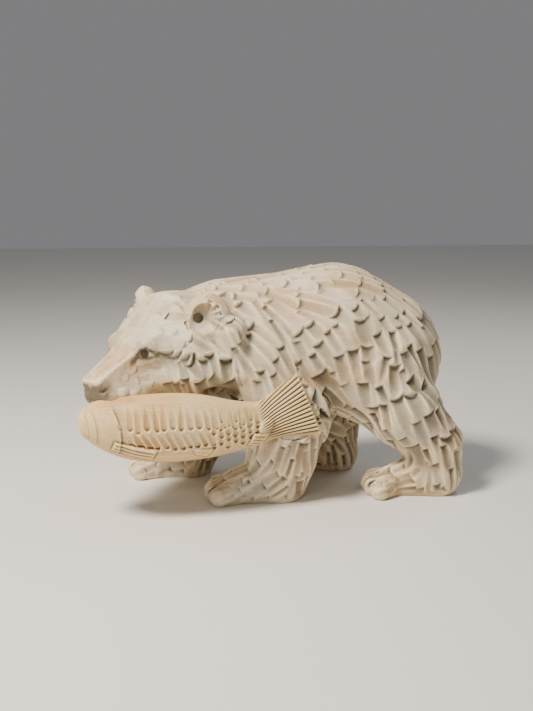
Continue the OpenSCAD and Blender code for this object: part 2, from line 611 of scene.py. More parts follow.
@dataclass
class BearCarving:
    """The bear: one block of wood, from the nose to the hind heel."""

    block: Block
    salmon: "Salmon"
    shoulder_radius: float = 54.5
    loin_radius: float = 58.0
    rump_radius: float = 57.0
    neck_radius: float = 44.5
    trunk_slimness: float = 0.9
    skull_radius: float = 36.5
    cheek_radius: float = 24.0
    brow_radius: float = 9.5
    muzzle_radius: float = 21.0
    nose_radius: float = 9.0
    chin_radius: float = 12.0
    ear_radius: float = 16.0
    upper_arm_radius: float = 36.0
    forearm_radius: float = 26.5
    haunch_radius: float = 45.0
    shank_radius: float = 22.5
    paw_radius: float = 18.5
    toe_radius: float = 8.8
    spine: float = 0.2
    near_side: float = -0.27
    far_side: float = 0.69
    voxel: float = 1.05
    triangles: int = 190_000

    def __post_init__(self) -> None:
        """Places the head and the trunk in the block."""
        self.head = HeadAxes(self.block.place(-0.515, -0.03, 0.675))
        self.shoulder = self.block.place(-0.22, self.spine, 0.63)
        self.loin = self.block.place(0.33, self.spine, 0.655)
        self.rump = self.block.place(0.555, self.spine, 0.575)

    def chain(
        self, centres: list[Array], radii: list[float], slim: float = 1.0, blend: float = 8.0
    ) -> list[Mass]:
        """Gives masses between neighbouring centres, in a chain.

        Args:
            centres: the centres in order, mm.
            radii: a radius for each centre, mm.
            slim: width along Y as a share of the height.
            blend: how softly the masses run together, mm.
        """
        return [
            Mass(centres[i], centres[i + 1], radii[i], radii[i + 1], slim, blend)
            for i in range(len(centres) - 1)
        ]

    def trunk(self) -> list[Mass]:
        """Gives the trunk and the neck."""
        place = self.block.place
        return [
            *self.chain(
                [self.shoulder, self.loin, self.rump],
                [self.shoulder_radius, self.loin_radius, self.rump_radius],
                self.trunk_slimness,
                14,
            ),
            *self.chain(
                [self.shoulder, self.head.centre], [self.neck_radius, self.skull_radius], 1.0, 12
            ),
            *self.chain(
                [place(-0.33, self.spine, 0.48), place(0.27, self.spine, 0.55)],
                [self.shoulder_radius * 0.65, self.loin_radius * 0.68],
                1.0,
                14,
            ),
            Mass(
                place(0.05, self.spine, 0.12),
                place(0.5, self.spine, 0.15),
                *(40, 37, 1.3, 14),
                cut=Cut.TAKE,
            ),
        ]

    def skull(self) -> list[Mass]:
        """Gives the skull, the muzzle's core, the jaw, the cheeks and the brows."""
        on = self.head.point
        r = self.skull_radius
        masses = [
            *self.chain(
                [self.head.centre, on(-r * 0.9, 0, -12), on(-r * 1.62, 0, -24)],
                [r, self.muzzle_radius, self.nose_radius * 1.35],
                1.0,
                6,
            ),
            Mass(on(-6, 0, 2), on(-38, 0, -3), r * 0.96, 13.5, 1.0, 8),
            Mass(on(-2, 0, -18), on(-r * 1.3, 2, -50), r * 0.8, self.chin_radius, 1.0, 6),
        ]
        for side in (LEFT, RIGHT):
            cheek = on(-12, side * self.cheek_radius * 1.05, -15)
            ruff = on(16, side * self.cheek_radius * 1.3, -10)
            masses += self.chain(
                [cheek, ruff, self.shoulder],
                [self.cheek_radius, self.cheek_radius * 1.15, self.neck_radius * 0.8],
                1.0,
                8,
            )
            brow = on(-40, side * 15.5, 1.5)
            masses.append(Mass(on(-8, side * 11, 7), brow, r * 0.74, self.brow_radius, 1.0, 6))
            masses.append(Mass(on(10, side * 51, 12), on(11, side * 59, -18), 12.0, 7.0, 1.0, 3.0))
            masses.append(
                Mass(on(-4, side * 47, -36), on(6, side * 56, -37), 9.0, 7.0, 1.0, 4.0, Cut.TAKE)
            )
            temple = on(-14, side * 28, 2)
            masses.append(Mass(on(-36, side * 21, -2), temple, 7.0, 17.0, 1.0, 6))
            lip = on(-r * 1.6, side * self.nose_radius * 0.8, -29)
            masses.append(Mass(cheek, lip, self.cheek_radius * 0.6, 7.5, 1.0, 4))
        return masses

    def muzzle(self) -> list:
        """Gives the muzzle's flat cuts: its top, its sides, the front of the nose and the lips."""
        corner = {
            "nose": (-81.0, 8.5, -18.5),
            "stop": (-45.0, 12.5, 2.0),
            "lip": (-63.0, 17.5, -35.0),
        }
        nose, stop, lip = (np.array(corner[k]) for k in ("nose", "stop", "lip"))
        side = unit(np.cross(stop - nose, lip - nose))
        side = side if side[1] > 0 else -side
        rise = stop - nose
        top = unit(np.array([-rise[2], 0.0, rise[0]]))
        cuts = [
            (top, nose),
            (side, nose),
            (side * [1, -1, 1], nose * [1, -1, 1]),
            (unit(np.array([-0.93, 0.0, -0.36])), nose),
            (unit(np.array([-0.25, 0.0, -1.0])), lip),
            (np.array([1.0, 0.0, 0.0]), np.array([-30.0, 0.0, 0.0])),
            (unit(np.array([-0.75, 0.66, -0.05])), np.array([-80.0, 8.0, -22.0])),
            (unit(np.array([-0.75, -0.66, -0.05])), np.array([-80.0, -8.0, -22.0])),
        ]
        normals = np.array([self.head.direction(*n) for n, _ in cuts])
        points = np.array([self.head.point(*p) for _, p in cuts])
        middle = self.head.point(-56, 0, -18)
        return [Wedge(normals, (normals * points).sum(axis=1), 2.4, middle=middle, size=42.0)]

    def mouth(self) -> list[Mass]:
        """Gives the waved edge of the upper lip, the nostrils and the far corner of the mouth."""
        on = self.head.point
        masses = []
        for side in (LEFT, RIGHT):
            waves = 6
            for i in range(waves):
                at = on(-71 + 8.0 * i, side * (12 + 1.7 * i), -33.5 + 2.0 * (i % 2) + 0.6 * i)
                masses.append(Mass(at, at + [0, 0, 3], 3.6, 4.2, 1.0, 1.2))
            nostril = [
                on(-84, side * 4.0, -23.5),
                on(-81.5, side * 9.0, -25.5),
                on(-75, side * 13.4, -23.5),
                on(-71, side * 13.4, -18.5),
            ]
            for i, radius in enumerate((3.0, 2.7, 2.1)):
                masses.append(
                    Mass(nostril[i], nostril[i + 1], radius, radius * 0.75, 1.0, 0.6, Cut.TAKE)
                )
        masses.append(Mass(on(-80, 0, -30), on(-72, 0, -38), 1.2, 1.2, 1.0, 0.6, Cut.TAKE))
        masses.append(Mass(on(-66, 15, -41), on(-30, 30, -36), 2.2, 1.2, 1.0, 1.0, Cut.TAKE))
        return masses

    def ear_axes(self, side: int) -> Array:
        """Gives an ear's axes: the way it faces, across it and up it."""
        facing = unit(self.head.direction(-0.80, side * 0.60, 0.08))
        across = unit(np.cross([0, 0, 1], facing))
        return np.array([facing, across, np.cross(facing, across)])

    def ear_middle(self, side: int) -> Array:
        """Gives the middle of an ear's leaf."""
        return self.head.point(1, side * self.skull_radius, self.skull_radius * 0.64)

    def ears(self) -> list[Leaf]:
        """Gives both ears: a thick round leaf, hollowed on its face, with a deep hole."""
        r = self.ear_radius
        leaves = []
        for side in (LEFT, RIGHT):
            axes = self.ear_axes(side)
            facing, across, up = axes
            middle = self.ear_middle(side)
            out = across * side * np.sign(across @ self.head.direction(0, 1, 0))
            leaves.append(Leaf(middle, axes, (r * 0.60, r * 1.02, r * 1.08), 2.0))
            root = middle * 0.6 + self.head.centre * 0.4
            leaves.append(Mass(middle - up * r * 0.5, root, r * 0.62, r * 0.8, 1.0, 4))
            cup = middle + facing * r * 0.62 - out * r * 0.10
            leaves.append(Leaf(cup, axes, (r * 0.42, r * 0.70, r * 0.74), 0.8, Cut.TAKE))
            hole = middle + facing * r * 0.34 - out * r * 0.40 - up * r * 0.04
            leaves.append(Mass(hole, hole - facing * 6, 4.6, 3.4, 1.0, 0.6, Cut.TAKE))
        return leaves

    def eye_point(self, side: int, along: float, up: float, out: float) -> Array:
        """Gives a point near an eye: along the face, up it and out of it, from the bead.

        Args:
            side: LEFT or RIGHT.
            along: towards the back of the head, mm.
            up: upwards, mm.
            out: out of the face, mm.
        """
        swing = math.radians(40)
        outward = self.head.direction(-math.cos(swing), side * math.sin(swing), 0.14)
        back = self.head.direction(math.sin(swing), side * math.cos(swing), 0.0)
        bead = self.head.point(-43.3, side * 17.4, -1)
        return bead + back * along + np.array([0, 0, up]) + outward * out

    def eyes(self) -> list[Mass]:
        """Gives the hollows of the eyes and their lids, cut close round the beads."""
        masses = []
        for side in (LEFT, RIGHT):
            at = partial(self.eye_point, side)
            masses.append(Mass(at(-5, -4.5, 8.2), at(3, -4.0, 9.0), 5.6, 5.0, 1.0, 2.2, Cut.TAKE))
            lid = [at(-9, -4.6, 1.2), at(-3.5, 3.8, 2.0), at(2.0, 5.0, 2.3), at(11, 0.8, 0.8)]
            for i in range(3):
                masses.append(Mass(lid[i], lid[i + 1], 1.6, 1.6, 1.0, 0.8))
            masses.append(Mass(at(0, 0, 0), at(0, 0, 7), 3.6, 4.3, 1.0, 0.3, Cut.TAKE))
            slit = [at(-5.5, -1.0, 4.4), at(-3.2, 2.2, 4.6), at(0.8, 3.5, 4.8), at(5, 1.6, 5.0)]
            for i in range(3):
                masses.append(Mass(slit[i], slit[i + 1], 1.2, 1.2, 1.0, 0.3, Cut.TAKE))
        return masses

    def paw(self, centre: Array, reach: float, share: float) -> list[Mass]:
        """Gives a paw: an instep drawn out into a row of toes.

        Args:
            centre: the instep's centre, mm.
            reach: from there to the tips of the toes, mm.
            share: the instep's radius as a share of the paw's.
        """
        toes, spread = 4, self.toe_radius * 1.15
        masses = []
        for i in range(toes):
            off = i - (toes - 1) / 2
            tip = np.array(
                [
                    centre[0] - reach + abs(off) * self.toe_radius * 0.35,
                    centre[1] + off * spread,
                    self.toe_radius * 0.75,
                ]
            )
            masses.append(
                Mass(centre, tip, self.paw_radius * share, self.toe_radius * 0.8, 1.0, 1.5)
            )
        for i in range(toes - 1):
            off = (i - (toes - 2) / 2) * spread
            r = self.paw_radius * share
            path = [
                centre + [-reach * 0.4, off * 0.7, r * 0.9],
                np.array([centre[0] - reach + 1.0, centre[1] + off, self.toe_radius * 1.5]),
                np.array([centre[0] - reach - 5.5, centre[1] + off, self.toe_radius * 0.9]),
                np.array([centre[0] - reach - 6.0, centre[1] + off, -1.0]),
            ]
            for k, radius in enumerate((1.0, 1.7, 2.3)):
                masses.append(Mass(path[k], path[k + 1], radius, radius + 0.5, 1.0, 1.0, Cut.TAKE))
        return masses

    def fore_strides(self) -> tuple[tuple[float, ...], ...]:
        """Gives each foreleg's shares as foreleg takes them, the near one first."""
        return (self.near_side, 0.06, 0.03, -0.15), (self.far_side, -0.2, -0.42, -0.56)

    def hind_strides(self) -> tuple[tuple[float, ...], ...]:
        """Gives each hind leg's shares as hind_leg takes them, the near one first."""
        return (self.near_side, 0.58, 0.68, 0.85, 0.63), (self.far_side, 0.50, 0.37, 0.39, 0.23)

    def foreleg(self, y: float, elbow: float, wrist: float, paw: float) -> list[Mass]:
        """Gives a foreleg; the shares place its elbow, wrist and paw along X.

        Args:
            y: share of the half width at which the leg stands.
            elbow: share of the half length.
            wrist: share of the half length.
            paw: share of the half length.
        """
        place = self.block.place
        shoulder_y = y * 0.75 + self.spine * 0.25
        r = self.forearm_radius
        return [
            *self.chain(
                [place(-0.1, shoulder_y, 0.56), place(elbow, y, 0.36), place(wrist, y, 0.17)],
                [self.upper_arm_radius, r * 1.2, r],
                1.0,
                9,
            ),
            *self.chain(
                [place(wrist, y, 0.17), place(wrist - 0.01, y, 0.08), place(paw, y, 0.055)],
                [r, r * 0.76, self.paw_radius * 0.9],
                1.0,
                5,
            ),
            *self.paw(place(paw, y, 0.055), self.paw_radius * 1.5, 0.9),
        ]

    def hind_leg(self, y: float, haunch: float, knee: float, hock: float, paw: float) -> list[Mass]:
        """Gives a hind leg; the shares place its haunch, knee, hock and paw along X.

        Args:
            y: share of the half width at which the leg stands.
            haunch: share of the half length.
            knee: share of the half length.
            hock: share of the half length.
            paw: share of the half length.
        """
        place = self.block.place
        haunch_y = y * 0.55 + self.spine * 0.45
        r = self.shank_radius
        return [
            *self.chain(
                [place(haunch, haunch_y, 0.5), place(knee, y, 0.38), place(hock, y, 0.22)],
                [self.haunch_radius, r * 1.25, r],
                1.0,
                9,
            ),
            *self.chain(
                [place(hock, y, 0.22), place(hock + 0.015, y, 0.085), place(paw, y, 0.045)],
                [r, r * 0.9, self.paw_radius * 0.68],
                1.0,
                5,
            ),
            *self.paw(place(paw, y, 0.045), self.paw_radius * 0.95, 0.68),
        ]

    def legs(self) -> list[Mass]:
        """Gives the four legs, each at its own point of the stride."""
        forelegs = [self.foreleg(*stride) for stride in self.fore_strides()]
        hind_legs = [self.hind_leg(*stride) for stride in self.hind_strides()]
        return [mass for leg in forelegs + hind_legs for mass in leg]

    def form(self) -> Form:
        """Gives the whole skin, with the salmon's seat cut into it."""
        return Form(
            [
                *self.trunk(),
                *self.legs(),
                *self.skull(),
                *self.muzzle(),
                *self.ears(),
                *self.mouth(),
                *self.eyes(),
                self.block_side(),
                self.salmon.seat(),
            ],
            swell=0.9,
        )

    def block_side(self) -> Wedge:
        """Gives the waste past the block's far side, which flattens the haunch and the shoulder."""
        inset = 2.0
        outward = np.array([[0.0, -1.0, 0.0]])
        return Wedge(outward, np.array([inset - self.block.half_width]), 16, Cut.TAKE)

    def rough_out(self, form: Form) -> bpy.types.Object:
        """Saws the rough shape: hulls of ball pairs, merged into one closed skin.

        Args:
            form: the masses to join.
        """
        rough = bmesh.new()
        for mass in form.masses:
            if mass.cut is Cut.TAKE:
                continue
            ball = bmesh.new()
            if isinstance(mass, Mass):
                stretch = Matrix.Diagonal((1, mass.slim, 1, 1))
                ends = ((mass.start, mass.start_radius), (mass.end, mass.end_radius))
                for centre, radius in ends:
                    place = Matrix.Translation(Vector(centre * METRES))
                    bmesh.ops.create_icosphere(
                        ball, subdivisions=3, radius=radius * METRES, matrix=place @ stretch
                    )
            elif isinstance(mass, Leaf):
                axes = Matrix([tuple(a) for a in mass.axes]).transposed().to_4x4()
                size = Matrix.Diagonal((*mass.radii, 1))
                place = Matrix.Translation(Vector(mass.centre * METRES)) @ axes @ size
                bmesh.ops.create_icosphere(ball, subdivisions=3, radius=METRES, matrix=place)
            else:
                for corner in self.wedge_corners(mass):
                    ball.verts.new(corner * METRES)
            hull = bmesh.ops.convex_hull(ball, input=ball.verts)
            bmesh.ops.delete(
                ball, geom=list({*hull["geom_interior"], *hull["geom_unused"]}), context="VERTS"
            )
            part = bpy.data.meshes.new("part")
            ball.to_mesh(part)
            ball.free()
            rough.from_mesh(part)
            bpy.data.meshes.remove(part)
        mesh = bpy.data.meshes.new("bear_carving")
        rough.to_mesh(mesh)
        rough.free()
        piece = new_piece("bear", mesh)
        remesh = piece.modifiers.new("one skin", "REMESH")
        remesh.mode = "VOXEL"
        remesh.voxel_size = self.voxel * METRES
        baked(piece)
        return piece

    def wedge_corners(self, wedge: Wedge) -> list[Array]:
        """Gives the corners where three of a wedge's flat cuts meet.

        Args:
            wedge: the solid between flat cuts.
        """
        corners = []
        count = len(wedge.normals)
        for i in range(count):
            for j in range(i):
                for k in range(j):
                    rows = wedge.normals[[i, j, k]]
                    if abs(np.linalg.det(rows)) < 0.02:
                        continue
                    corner = np.linalg.solve(rows, wedge.offsets[[i, j, k]])
                    if (wedge.normals @ corner <= wedge.offsets + 0.01).all():
                        corners.append(corner)
        return corners

    def refine_head(self, piece: bpy.types.Object) -> None:
        """Splits the skin's faces once on the face, the ears and round the tail's seat."""
        work = bmesh.new()
        work.from_mesh(piece.data)
        centre = self.head.point(-40, 0, -4)
        ears = [self.head.point(1, s * self.skull_radius * 1.03, 23) for s in (LEFT, RIGHT)]
        points = np.array([v.co for v in work.verts]) / METRES
        fine = np.linalg.norm(points - centre, axis=1) < 45
        for ear in ears:
            fine |= np.linalg.norm(points - ear, axis=1) < 19
        by_seat = np.abs(self.salmon.seat().distance(points)) < 1.8
        fine |= by_seat & (points[:, 0] > -30)
        edges = [e for e in work.edges if fine[e.verts[0].index] or fine[e.verts[1].index]]
        bmesh.ops.subdivide_edges(work, edges=edges, cuts=1, use_grid_fill=True)
        work.to_mesh(piece.data)
        work.free()

    def coats(self) -> list[Coat]:
        """Gives how the fur lies over the body, from the nose to the heels."""
        place, on, way = self.block.place, self.head.point, self.head.direction
        back = Stroke(25, 11.0, 1.2, 1.2)
        upper = Stroke(30, 11.5, 2.0, 1.9)
        flute = Stroke(42, 9.2, 3.0, 2.6)
        lock = Stroke(33, 12.0, 3.4, 2.6)
        haunch = Stroke(36, 12.5, 3.7, 2.8)
        face = Stroke(15, 9.5, 0.7, 0.6)
        fine = Stroke(9, 6.0, 0.25, 0.3)
        crown = Stroke(20, 12.0, 0.55, 0.75)
        cheek = Stroke(18, 6.5, 2.4, 1.6)
        leg = Stroke(36, 8.0, 2.5, 2.2)
        shag = Stroke(25, 10.0, 4.6, 2.5)
        foot = Stroke(26, 8.4, 1.6, 1.4)
        rows = [
            Coat(on(-75, 0, -20), 14, way(1, 0, 0.5), fine),
            Coat(on(-52, 0, -4), 14, way(1, 0, 0.6), fine),
            Coat(on(-35, 0, 18), 16, way(1, 0, 0.7), crown),
            Coat(on(-5, 0, 36), 22, way(1, 0, 0.2), crown),
            Coat(place(-0.3, self.spine, 0.95), 30, np.array([1, 0, 0.1]), back),
            Coat(place(0.05, self.spine, 0.97), 34, np.array([1, 0, 0.05]), back),
            Coat(place(0.4, self.spine, 1.0), 36, np.array([1, 0, -0.1]), back),
            Coat(place(0.75, self.spine, 0.85), 34, np.array([0.75, 0, -0.7]), upper),
            Coat(place(0.3, self.spine, 0.34), 34, np.array([0.9, 0, 0.1]), lock),
            Coat(place(0.98, self.spine, 0.55), 36, np.array([0.12, 0, -1]), haunch),
            Coat(place(0.0, self.spine, 0.3), 34, np.array([0.8, 0, -0.25]), lock),
            Coat(place(-0.45, self.spine, 0.4), 34, np.array([0.5, 0, -0.7]), lock),
        ]
        for side, y in ((LEFT, -0.62), (RIGHT, 1.0)):
            rows += [
                Coat(on(-62, side * 14, -25), 12, way(1, side * 0.2, 0.1), fine),
                Coat(on(-40, side * 22, -16), 13, way(1, side * 0.3, -0.2), face),
                Coat(on(-46, side * 20, -31), 12, way(1, side * 0.3, -0.2), fine),
                Coat(on(-30, side * 24, 14), 14, way(1, side * 0.4, 0.2), crown),
                Coat(on(-12, side * 40, -8), 16, way(0.9, side * 0.2, -0.45), face),
                Coat(on(-16, side * 38, -26), 14, way(0.45, 0, -0.9), cheek),
                Coat(on(6, side * 44, -24), 17, way(0.35, 0, -0.95), cheek),
                Coat(on(20, side * 44, 0), 20, way(0.35, side * 0.1, -0.95), lock),
                Coat(place(-0.2, y, 0.78), 24, np.array([0.55, 0, -0.85]), flute),
                Coat(place(-0.02, y, 0.72), 30, np.array([0.5, 0, -0.87]), flute),
                Coat(place(-0.02, y, 0.5), 26, np.array([0.3, 0, -0.95]), flute),
                Coat(place(0.28, y, 0.78), 34, np.array([0.75, 0, -0.62]), upper),
                Coat(place(0.25, y, 0.5), 30, np.array([0.5, 0, -0.85]), lock),
                Coat(place(0.42, y, 0.6), 26, np.array([0.25, 0, -1]), lock),
                Coat(place(0.7, y, 0.72), 30, np.array([0.6, 0, -0.8]), upper),
                Coat(place(0.5, y, 0.66), 18, np.array([-0.25, 0, -0.97]), haunch),
                Coat(place(0.6, y, 0.52), 28, np.array([0.05, 0, -1]), haunch),
                Coat(place(0.78, y, 0.42), 28, np.array([0.3, 0, -0.95]), haunch),
                Coat(place(0.95, y, 0.35), 24, np.array([0.5, 0, -0.85]), shag),
            ]
        for y, elbow, wrist, paw in self.fore_strides():
            rows += [
                Coat(place(elbow - 0.02, y - 0.3, 0.3), 20, np.array([-0.35, 0, -0.94]), leg),
                Coat(place(elbow + 0.2, y, 0.36), 20, np.array([0.45, 0, -0.9]), shag),
                Coat(place(wrist + 0.2, y, 0.14), 18, np.array([0.25, 0, -0.97]), leg),
                Coat(place(wrist - 0.08, y, 0.16), 18, np.array([-0.75, 0, -0.66]), leg),
                Coat(place(paw - 0.1, y, 0.08), 20, np.array([-0.95, 0, -0.3]), foot),
            ]
        for y, _, knee, hock, paw in self.hind_strides():
            rows += [
                Coat(place(knee - 0.1, y, 0.32), 20, np.array([0.5, 0, -0.86]), shag),
                Coat(place(hock, y, 0.25), 20, np.array([0.35, 0, -0.94]), shag),
                Coat(place(hock + 0.1, y, 0.08), 18, np.array([0.2, 0, -0.98]), leg),
                Coat(place(paw - 0.05, y, 0.08), 20, np.array([-0.95, 0, -0.3]), foot),
            ]
        return rows

    def comb(self, points: Array, normals: Array) -> tuple[Array, Array]:
        """Blends the coats over the skin.

        Returns:
            The fur's unit direction at each point, in the skin, and the stroke's four sizes.
        """
        flow = np.zeros_like(points)
        sizes = np.zeros((len(points), 4))
        total = np.zeros(len(points))
        for coat in self.coats():
            away = ((points - coat.place) ** 2).sum(axis=1) / coat.reach**2
            weight = np.exp(-away) + 1e-5 / (1 + away)
            s = coat.stroke
            flow += weight[:, None] * unit(coat.flow)
            sizes += weight[:, None] * np.array([s.length, s.width, s.depth, s.scoop])
            total += weight
        flow -= (flow * normals).sum(axis=1)[:, None] * normals
        return unit(flow), sizes / total[:, None]

    def cheek_rows(self) -> tuple[Array, Array, Array]:
        """Gives the two rows of flutes that hang under each cheek's ledge.

        Returns:
            Where each flute starts, its direction, and its length, width, depth and scoop.
        """
        rows = (
            ((-36, 32, -2), (-26, 43, -5), (-3, 56, -6), 8, (22, 7.6, 3.9, 1.7)),
            ((-35, 32, -20), (-26, 43, -23), (3, 57, -23), 7, (20, 7.8, 4.0, 1.7)),
        )
        starts, ways, sizes = [], [], []
        hand = np.random.default_rng(5)
        for side in (LEFT, RIGHT):
            for first, middle, last, count, size in rows:
                places = (first, middle, last)
                corner = [self.head.point(x, side * y, z) for x, y, z in places]
                for share in np.linspace(0, 2, count):
                    i = min(int(share), 1)
                    start = corner[i] + (share - i) * (corner[i + 1] - corner[i])
                    starts.append(start + [0, 0, hand.uniform(-2.5, 1.2)])
                    ways.append(self.head.direction(hand.uniform(0.2, 0.5), side * 0.05, -0.9))
                    sizes.append(np.array(size) * hand.uniform(0.8, 1.2, 4))
        return np.array(starts), np.array(ways), np.array(sizes, float)

    def ear_rays(self) -> tuple[Array, Array, Array]:
        """Gives the grooves that fan from each ear's hole to its rim, as for cheek_rows.

        Returns:
            Where each groove starts, its direction, and its length, width, depth and scoop.
        """
        r, count = self.ear_radius, 5
        starts, ways, sizes = [], [], []
        for side in (LEFT, RIGHT):
            facing, across, up = self.ear_axes(side)
            out = across * side * np.sign(across @ self.head.direction(0, 1, 0))
            middle = self.ear_middle(side)
            for k in range(count):
                turn = math.radians(-35 + 25 * k)
                ray = out * math.cos(turn) + up * math.sin(turn)
                starts.append(middle + ray * r * 1.08 - out * r * 0.1 + facing * r * 0.2)
                ways.append(-ray + facing * 0.2)
                sizes.append((14.0, 6.6, 1.8, 1.8))
        return np.array(starts), unit(np.array(ways)), np.array(sizes)

    def quiet(self, points: Array) -> Array:
        """Gives how much of the fur's depth each point keeps: less on soles, face and tail edge."""
        keep = np.clip((points[:, 2] - 1.5) / 5, 0, 1)
        on = self.head.point
        for side in (LEFT, RIGHT):
            for centre, inner, outer in (
                (self.eye_point(side, 1, 0, 2), 8.0, 13.0),
                (on(1, side * self.skull_radius * 1.03, self.skull_radius * 0.62), 14.0, 18.0),
                (on(-74, side * 8, -25), 9.0, 14.0),
            ):
                away = np.linalg.norm(points - centre, axis=1)
                keep = np.minimum(keep, np.clip((away - inner) / (outer - inner), 0.0, 1))
        x, y, z, deep, _, lean = self.salmon.rings[-1]
        rise = np.array([-math.sin(math.radians(lean)), 0, math.cos(math.radians(lean))])
        for share in np.linspace(-1, 1, 9):
            edge = self.block.place(x, y, z) + rise * deep * share
            away = np.linalg.norm(points - edge, axis=1)
            keep = np.minimum(keep, np.clip((away - 4) / 5, 0.1, 1))
        return keep

    def stain(self, points: Array) -> Array:
        """Gives how dark the wood is coloured: the nose's stain, and painted shade along the lids,
        round the eyes, in the ear holes and in the hollow behind the jaw.
        """
        on = self.head.point
        spots = []
        for side in (LEFT, RIGHT):
            # the nose's stain, then painted shade round the eye, in the hollow behind the jaw and
            # in the ear's hole
            spots += [
                (on(-75, side * 9, -27), 5.0, 0.9),
                (self.eye_point(side, 1, 0, 3), 7.0, 0.5),
                (on(3, side * 54, -36), 13.0, 0.9),
                (on(-4, side * 35, 24), 6.0, 0.8),
            ]
        total = np.zeros(len(points))
        # painted shade along the upper and lower lid lines round each bead
        for side in (LEFT, RIGHT):
            upper = ((-10, -7.5, 4), (-5, -1, 4.5), (-2.5, 3.2, 4.6), (1, 4.2, 5), (6, 1.6, 5.5))
            lower = ((11, -1.2, 6), (5, -2.6, 5), (0, -3.9, 4.4), (-4.6, -3.0, 4.2))
            line = [self.eye_point(side, *c) for c in (*upper, *lower)]
            for i in range(len(line) - 1):
                run = line[i + 1] - line[i]
                share = np.clip((points - line[i]) @ run / (run @ run), 0, 1)
                away = np.linalg.norm(points - line[i] - share[:, None] * run, axis=1)
                wide = 1.5 if i < len(upper) else 0.9
                total = np.maximum(total, 0.95 * np.clip(1.9 - away / wide, 0, 1))
        local = (points - self.head.centre) @ self.head.rotation().T
        under_top = -19.5 + 0.57 * (local[:, 0] + 81) - local[:, 2]
        front = np.clip((-69.0 - local[:, 0]) / 7, 0, 1)
        total = np.maximum(total, 0.9 * front * np.clip(under_top / 1.2, 0, 1))
        for centre, reach, most in spots:
            away = ((points - centre) ** 2).sum(axis=1) / reach**2
            total = np.maximum(total, most * np.exp(-away))
        return total

    def cut_fur(self, points: Array, normals: Array) -> tuple[Array, Array]:
        """Cuts the fur over the body, then the flutes of the cheeks and the ears.

        Returns:
            How deep each point is cut, mm, and the tone of the stroke that cut it.
        """
        tries, seat_clear, start_clear, left_by_flutes = 90_000, 8, 6, 0.3
        flow, sizes = self.comb(points, normals)
        gouge = Gouge(seed=11, wall=1.35, round_entry=-0.5)
        starts, ways, row_sizes = (
            np.concatenate(pair) for pair in zip(self.cheek_rows(), self.ear_rays())
        )
        seats = starts + ways * row_sizes[:, :1] * 0.5
        index = nearest(points, seats)
        clear = np.ones(len(points), bool)
        for seat, start in zip(seats, starts):
            clear &= np.linalg.norm(points - seat, axis=1) > seat_clear
            clear &= np.linalg.norm(points - start, axis=1) > start_clear
        chosen = gouge.lay_out(points, normals, flow, sizes * clear[:, None], tries)
        LOG.info("bear fur: %d gouge strokes and %d flutes", len(chosen), len(seats))
        depth, tone = gouge.scoop(
            points, normals, 1.0, points[chosen], normals[chosen], flow[chosen], sizes[chosen]
        )
        depth *= np.where(clear, 1, left_by_flutes)
        seat_normals = normals[index]
        ways = unit(ways - (ways * seat_normals).sum(axis=1)[:, None] * seat_normals)
        flutes, flute_tone = gouge.scoop(
            points, normals, 0.7, points[index], seat_normals, ways, row_sizes
        )
        tone = np.where(flutes > depth, flute_tone, tone)
        return np.maximum(depth * self.quiet(points), flutes), tone

    def build(self) -> bpy.types.Object:
        """Makes the carving: rough shape, skin, fur, and a mesh fine at the ridges."""
        form = self.form()
        piece = self.rough_out(form)
        self.refine_head(piece)
        mesh = piece.data
        LOG.info("bear skin: %d points", len(mesh.vertices))
        points, normals = form.draw_in(mesh_points(mesh))
        points[:, 2] = np.maximum(points[:, 2], 0)
        depth, tone = self.cut_fur(points, normals)
        points = points - normals * depth[:, None]
        points[:, 2] = np.maximum(points[:, 2], 0)
        set_points(mesh, points)
        # depth and ridge drive painted shade in cuts and hollows and a painted highlight on ridges;
        # the third value holds the nose's stain and painted shade in holes and hollows
        ridge = crest(mesh, points, normals)
        values = {"depth": depth, "tone": tone, "ridge": ridge, "stain": self.stain(points)}
        self.thin(piece, points, values)
        LOG.info("bear: %d triangles", len(piece.data.polygons))
        return piece

    def thin(self, piece: bpy.types.Object, points: Array, values: dict[str, Array]) -> None:
        """Merges faces where the skin is even, and carries each point's values over.

        Args:
            piece: the carving.
            points: its points before the merging, mm.
            values: what each of those points holds, by name.
        """
        triangles = sum(len(p.vertices) - 2 for p in piece.data.polygons)
        modifier = piece.modifiers.new("fine at the ridges", "DECIMATE")
        modifier.ratio = min(1.0, self.triangles / triangles)
        modifier.use_collapse_triangulate = True
        mesh = baked(piece)
        index = nearest(points, mesh_points(mesh))
        for name, value in values.items():
            set_attribute(mesh, name, value[index])
        mesh.shade_smooth()
        mesh.set_sharp_from_angle(angle=math.radians(38))


# ------------------------------------------------------------------------------------------
# The salmon
# ------------------------------------------------------------------------------------------


@dataclass(frozen=True)
class SalmonSeat:
    """The hollow that the salmon lies in, a hair larger than the fish."""

    salmon: "Salmon"
    clearance: float = 0.45
    blend: float = 0.9
    cut: Cut = Cut.TAKE

    def box(self) -> tuple[Array, Array]:
        """Gives the lowest and highest corners of the salmon.

        Returns:
            The two corners, mm.
        """
        table = np.array(self.salmon.rings)
        half, height = self.salmon.block.half_length, self.salmon.block.height
        low = np.array([table[0, 0] * half, -76.0, table[:, 2].min() * height - 30])
        return low, np.array([table[-1, 0] * half + 12, -30.0, table[:, 2].max() * height + 30])

    def distance(self, points: Array) -> Array:
        """Gives each point's rough distance from the salmon's skin, negative inside."""
        table = np.array(self.salmon.rings)
        block = self.salmon.block
        lean = np.interp(points[:, 0] / block.half_length, table[:, 0], np.radians(table[:, 5]))
        guess = points[:, 0]
        for _ in range(3):
            y, z, deep, thick = self.salmon.ring_at(guess)
            guess = points[:, 0] + (points[:, 2] - z) * np.tan(lean)
        across = (points[:, 1] - y) / (thick + self.clearance)
        up = (points[:, 2] - z) / np.cos(lean) / (deep + self.clearance)
        beyond = guess - table[-1, 0] * block.half_length
        return np.maximum((np.hypot(across, up) - 1) * np.minimum(thick, deep), beyond)


